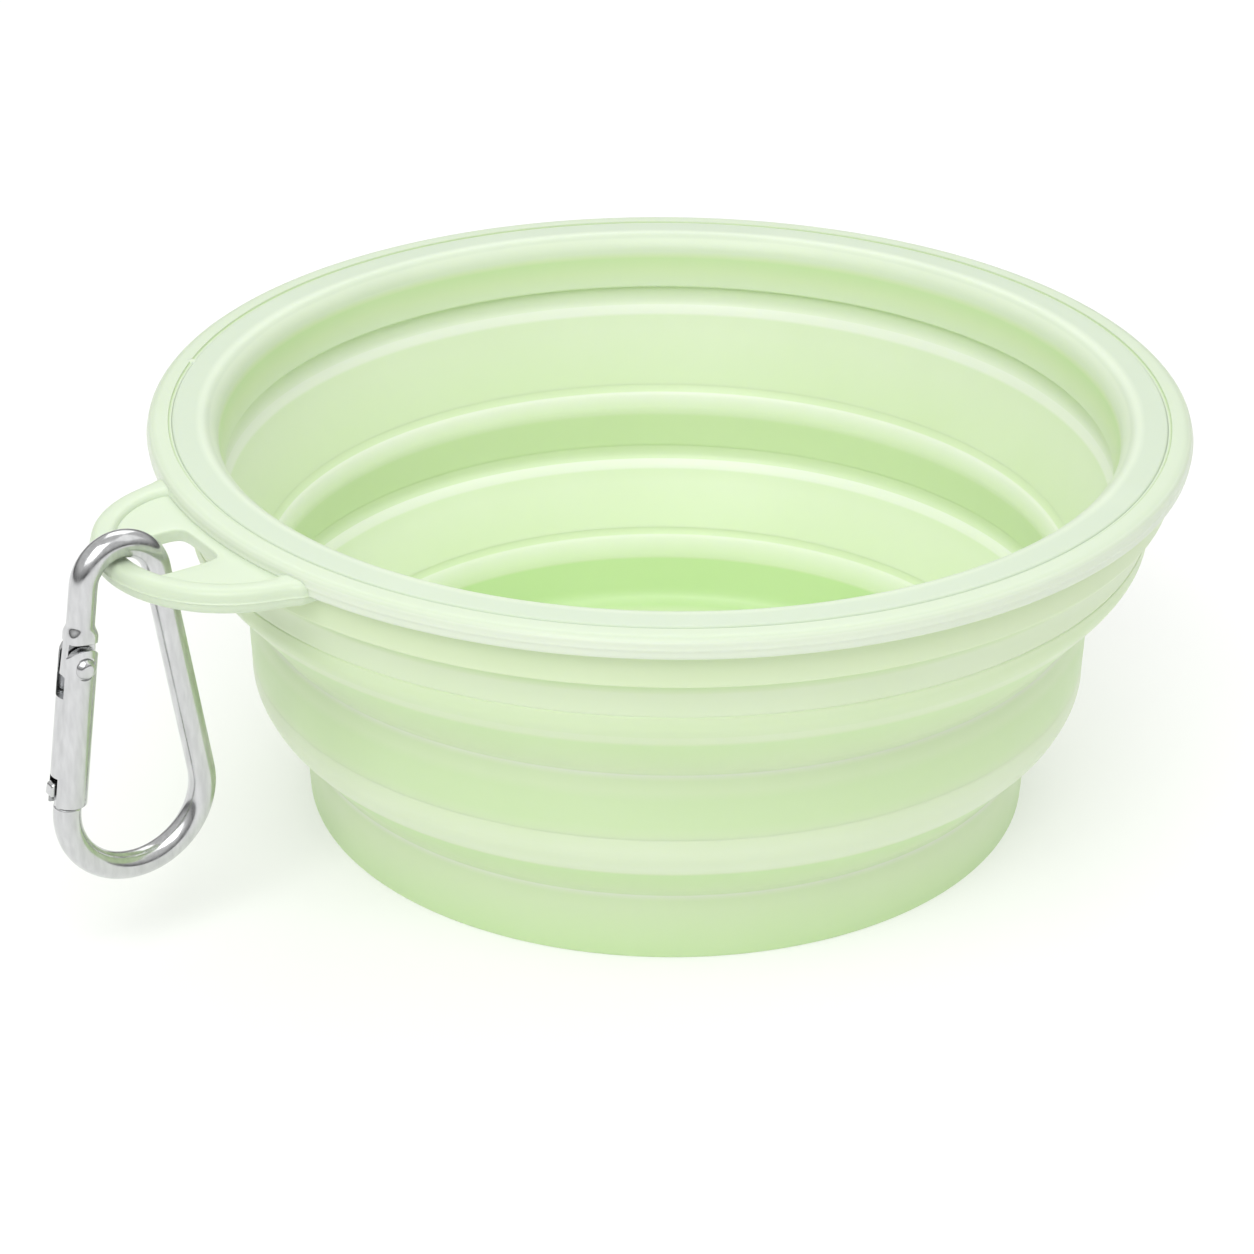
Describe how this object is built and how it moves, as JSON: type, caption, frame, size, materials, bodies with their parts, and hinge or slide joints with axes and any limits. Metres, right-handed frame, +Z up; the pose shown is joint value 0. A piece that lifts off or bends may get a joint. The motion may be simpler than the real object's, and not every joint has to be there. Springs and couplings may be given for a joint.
{
  "type": "collapsible pet bowl",
  "caption": "Soft round pet bowl that folds flat at ring-shaped webs, with a stiff rim ring, a hanging tab and a small sprung carabiner.",
  "frame": {"origin": "middle of the base's flat underside", "axes": "+Z up out of the bowl's mouth, -X towards the hanging tab and the carabiner"},
  "size_m": [0.1528, 0.13, 0.0555],
  "materials": {
    "rim_plastic": "satin",
    "bowl_rubber": "satin, slightly translucent",
    "bright_aluminium": "polished",
    "spring_steel": "drawn wire"
  },
  "bodies": {
    "rim": {"rim_ring": "rim_plastic", "collar": "bowl_rubber", "upper_fold_web": "bowl_rubber"},
    "middle": {"middle_band": "bowl_rubber", "lower_fold_web": "bowl_rubber"},
    "base": {"base_cup": "bowl_rubber"},
    "carabiner": {"carabiner_hook": "bright_aluminium", "gate_rivet": "bright_aluminium"},
    "gate": {"carabiner_gate": "bright_aluminium", "gate_spring": "spring_steel"},
    "plunger": {"spring_plunger": "spring_steel"}
  },
  "joints": [
    {"name": "upper_fold", "type": "slide", "parent": "rim", "child": "middle", "axis": [0, 0, 1], "range_m": [0, 0.018], "deforming": ["upper_fold_web"]},
    {"name": "lower_fold", "type": "slide", "parent": "middle", "child": "base", "axis": [0, 0, 1], "range_m": [0, 0.0155], "deforming": ["lower_fold_web"]},
    {"name": "carabiner_swing", "type": "hinge", "parent": "rim", "child": "carabiner", "pos_m": [-0.0771, 0, 0.0505], "axis": [0, 1, 0], "range_deg": [-20, 110]},
    {"name": "gate_pivot", "type": "hinge", "parent": "carabiner", "child": "gate", "pos_m": [-0.08314, 0, 0.04065], "axis": [0, -1, 0], "range_deg": [0, 25], "stiffness_Nm_per_rad": 0.02, "springref_deg": -20.05},
    {"name": "plunger_slide", "type": "slide", "parent": "gate", "child": "plunger", "axis": [-0.1479, 0, -0.989], "range_m": [0, 0.0004], "deforming": ["gate_spring"]}
  ],
  "couplings": [
    {"joint": "plunger_slide", "follows": "gate_pivot", "m_per_rad": 0.00082}
  ]
}
